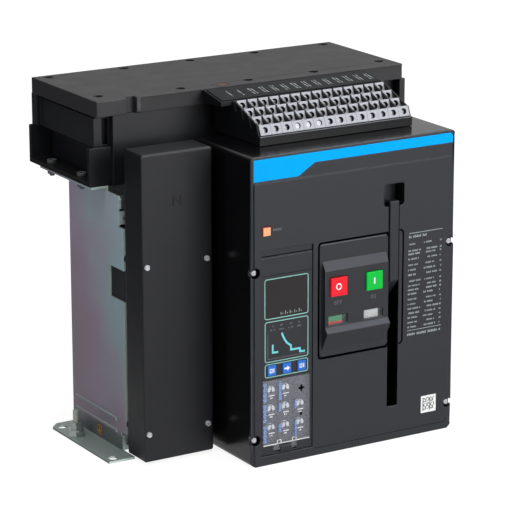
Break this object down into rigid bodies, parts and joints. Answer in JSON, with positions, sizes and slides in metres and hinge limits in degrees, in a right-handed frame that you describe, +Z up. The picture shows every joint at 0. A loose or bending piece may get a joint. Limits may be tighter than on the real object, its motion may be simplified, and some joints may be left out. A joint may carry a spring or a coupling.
{
  "type": "air circuit breaker",
  "caption": "Fixed air circuit breaker on two feet, with moulded case and covers, charging handle, push buttons, trip unit, terminal block and inner contact mechanism.",
  "frame": {"origin": "centre of the four foot holes, on the underside of the feet", "axes": "+X across the poles to the right, +Y from the front to the back, +Z up"},
  "size_m": [0.344, 0.2455, 0.32],
  "materials": {
    "case_moulding": "moulded, fine texture",
    "cover_moulding": "moulded, fine texture",
    "front_moulding": "moulded, satin",
    "neutral_moulding": "moulded, satin",
    "panel_moulding": "moulded, satin",
    "zinc_plate": "zinc plated sheet",
    "plated_screws": "zinc plated",
    "dark_screws": "black oxide",
    "stud_metal": "yellow passivated",
    "trim_blue": "gloss",
    "window_clear": "clear",
    "flag_green": "printed",
    "flag_white": "printed",
    "button_red": "semi-gloss",
    "button_green": "semi-gloss",
    "button_orange": "semi-gloss",
    "display_dark": "smoked lens",
    "clear_cover": "clear moulding",
    "key_blue": "membrane",
    "dial_white": "moulded",
    "block_black": "moulded",
    "clamp_grey": "moulded",
    "clamp_screws": "plated",
    "marker_dark": "printed strip",
    "copper_bar": "copper",
    "contact_silver": "silver alloy",
    "carrier_moulding": "glass-filled moulding",
    "arc_fibre": "vulcanised fibre",
    "shaft_steel": "zinc plated",
    "transformer_blue": "cast resin"
  },
  "bodies": {
    "breaker": {"front_case": "case_moulding", "rear_case": "case_moulding", "upper_case": "case_moulding", "side_pockets": "case_moulding", "top_cover": "cover_moulding", "front_cover": "front_moulding", "trip_unit_case": "front_moulding", "neutral_cover": "neutral_moulding", "operating_panel": "panel_moulding", "left_side_plate": "zinc_plate", "right_side_plate": "zinc_plate", "cover_long_screws": "plated_screws", "plate_fasteners": "plated_screws", "earth_nuts": "plated_screws", "top_cover_screws": "dark_screws", "earth_stud": "stud_metal", "trim_strip": "trim_blue", "indicator_windows": "window_clear", "display_window": "display_dark", "terminal_block": "block_black", "terminal_clamps": "clamp_grey", "terminal_screws": "clamp_screws", "marker_strip": "marker_dark", "upper_terminals": "copper_bar", "lower_terminals": "copper_bar", "flexible_links": "copper_bar", "fixed_contacts": "contact_silver", "arc_chute_walls": "arc_fibre", "arc_splitters": "shaft_steel", "mechanism_plates": "shaft_steel", "closing_springs": "shaft_steel", "motor_and_coils": "shaft_steel", "current_transformers": "transformer_blue"},
    "off_button": {"off_button": "button_red"},
    "on_button": {"on_button": "button_green"},
    "reset_button": {"reset_button": "button_orange"},
    "contact_flag": {"contact_flag": "flag_green"},
    "charge_flag": {"charge_flag": "flag_white"},
    "charging_handle": {"charging_handle": "panel_moulding"},
    "setting_cover": {"setting_cover": "clear_cover"},
    "key_left": {"key_left": "key_blue"},
    "key_middle": {"key_middle": "key_blue"},
    "key_right": {"key_right": "key_blue"},
    "contact_shaft": {"contact_shaft": "shaft_steel", "contact_carriers": "carrier_moulding", "contact_fingers": "copper_bar"},
    "charging_shaft": {"charging_shaft": "shaft_steel", "ratchet_wheel": "shaft_steel", "closing_cam": "shaft_steel"},
    "spring_yoke": {"spring_yoke": "shaft_steel"},
    "trip_half_shaft": {"trip_half_shaft": "shaft_steel"},
    "close_half_shaft": {"close_half_shaft": "shaft_steel"},
    "dial_1": {"dial_1": "dial_white"},
    "dial_2": {"dial_2": "dial_white"},
    "dial_3": {"dial_3": "dial_white"},
    "dial_4": {"dial_4": "dial_white"},
    "dial_5": {"dial_5": "dial_white"},
    "dial_6": {"dial_6": "dial_white"},
    "dial_7": {"dial_7": "dial_white"},
    "dial_8": {"dial_8": "dial_white"}
  },
  "joints": [
    {"name": "off_button_push", "type": "slide", "parent": "breaker", "child": "off_button", "axis": [0, 1, 0], "range_m": [0, 0.0035], "stiffness_N_per_m": 900, "springref_m": -0.004},
    {"name": "on_button_push", "type": "slide", "parent": "breaker", "child": "on_button", "axis": [0, 1, 0], "range_m": [0, 0.0035], "stiffness_N_per_m": 900, "springref_m": -0.004},
    {"name": "trip_half_shaft_turn", "type": "hinge", "parent": "breaker", "child": "trip_half_shaft", "pos_m": [0.0375, -0.112, 0.172], "axis": [1, 0, 0], "range_deg": [0, 15.1]},
    {"name": "close_half_shaft_turn", "type": "hinge", "parent": "breaker", "child": "close_half_shaft", "pos_m": [0.0375, -0.112, 0.1396], "axis": [-1, 0, 0], "range_deg": [0, 15.1]},
    {"name": "reset_button_push", "type": "slide", "parent": "breaker", "child": "reset_button", "axis": [0, 1, 0], "range_m": [0, 0.002], "stiffness_N_per_m": 600, "springref_m": -0.003},
    {"name": "charging_handle_swing", "type": "hinge", "parent": "breaker", "child": "charging_handle", "pos_m": [0.07725, -0.088, 0.112], "axis": [1, 0, 0], "range_deg": [0, 110], "stiffness_Nm_per_rad": 0.08, "springref_deg": -34.38},
    {"name": "charging_shaft_turn", "type": "hinge", "parent": "breaker", "child": "charging_shaft", "pos_m": [0.0375, -0.088, 0.112], "axis": [1, 0, 0], "range_deg": [0, 180], "stiffness_Nm_per_rad": 0.12, "springref_deg": -17.19},
    {"name": "spring_yoke_slide", "type": "slide", "parent": "breaker", "child": "spring_yoke", "axis": [0, 0, -1], "range_m": [0, 0.0301], "deforming": ["closing_springs"]},
    {"name": "charge_flag_slide", "type": "slide", "parent": "breaker", "child": "charge_flag", "axis": [0, 0, 1], "range_m": [0, 0.0091]},
    {"name": "contact_shaft_turn", "type": "hinge", "parent": "breaker", "child": "contact_shaft", "pos_m": [0, -0.008, 0.112], "axis": [-1, 0, 0], "range_deg": [0, 22], "stiffness_Nm_per_rad": 2.5, "springref_deg": -14.32},
    {"name": "contact_flag_slide", "type": "slide", "parent": "breaker", "child": "contact_flag", "axis": [0, 0, 1], "range_m": [0, 0.0091]},
    {"name": "setting_cover_swing", "type": "hinge", "parent": "breaker", "child": "setting_cover", "pos_m": [-0.0344, -0.1331, 0.014], "axis": [1, 0, 0], "range_deg": [0, 110]},
    {"name": "key_left_press", "type": "slide", "parent": "breaker", "child": "key_left", "axis": [0, 1, 0], "range_m": [0, 0.0008], "stiffness_N_per_m": 700, "springref_m": -0.0008},
    {"name": "key_middle_press", "type": "slide", "parent": "breaker", "child": "key_middle", "axis": [0, 1, 0], "range_m": [0, 0.0008], "stiffness_N_per_m": 700, "springref_m": -0.0008},
    {"name": "key_right_press", "type": "slide", "parent": "breaker", "child": "key_right", "axis": [0, 1, 0], "range_m": [0, 0.0008], "stiffness_N_per_m": 700, "springref_m": -0.0008},
    {"name": "dial_1_turn", "type": "hinge", "parent": "breaker", "child": "dial_1", "pos_m": [-0.049, -0.127, 0.0683], "axis": [0, 1, 0], "range_deg": [-135, 135]},
    {"name": "dial_2_turn", "type": "hinge", "parent": "breaker", "child": "dial_2", "pos_m": [-0.034, -0.127, 0.0683], "axis": [0, 1, 0], "range_deg": [-135, 135]},
    {"name": "dial_3_turn", "type": "hinge", "parent": "breaker", "child": "dial_3", "pos_m": [-0.049, -0.127, 0.0509], "axis": [0, 1, 0], "range_deg": [-135, 135]},
    {"name": "dial_4_turn", "type": "hinge", "parent": "breaker", "child": "dial_4", "pos_m": [-0.034, -0.127, 0.0509], "axis": [0, 1, 0], "range_deg": [-135, 135]},
    {"name": "dial_5_turn", "type": "hinge", "parent": "breaker", "child": "dial_5", "pos_m": [-0.019, -0.127, 0.0509], "axis": [0, 1, 0], "range_deg": [-135, 135]},
    {"name": "dial_6_turn", "type": "hinge", "parent": "breaker", "child": "dial_6", "pos_m": [-0.049, -0.127, 0.0335], "axis": [0, 1, 0], "range_deg": [-135, 135]},
    {"name": "dial_7_turn", "type": "hinge", "parent": "breaker", "child": "dial_7", "pos_m": [-0.034, -0.127, 0.0335], "axis": [0, 1, 0], "range_deg": [-135, 135]},
    {"name": "dial_8_turn", "type": "hinge", "parent": "breaker", "child": "dial_8", "pos_m": [-0.019, -0.127, 0.0335], "axis": [0, 1, 0], "range_deg": [-135, 135]}
  ],
  "couplings": [
    {"joint": "trip_half_shaft_turn", "follows": "off_button_push", "rad_per_m": 75},
    {"joint": "close_half_shaft_turn", "follows": "on_button_push", "rad_per_m": 75},
    {"joint": "spring_yoke_slide", "follows": "charging_shaft_turn", "m_per_rad": 0.0095493},
    {"joint": "charge_flag_slide", "follows": "charging_shaft_turn", "m_per_rad": 0.0028648},
    {"joint": "contact_flag_slide", "follows": "contact_shaft_turn", "m_per_rad": 0.023439}
  ]
}
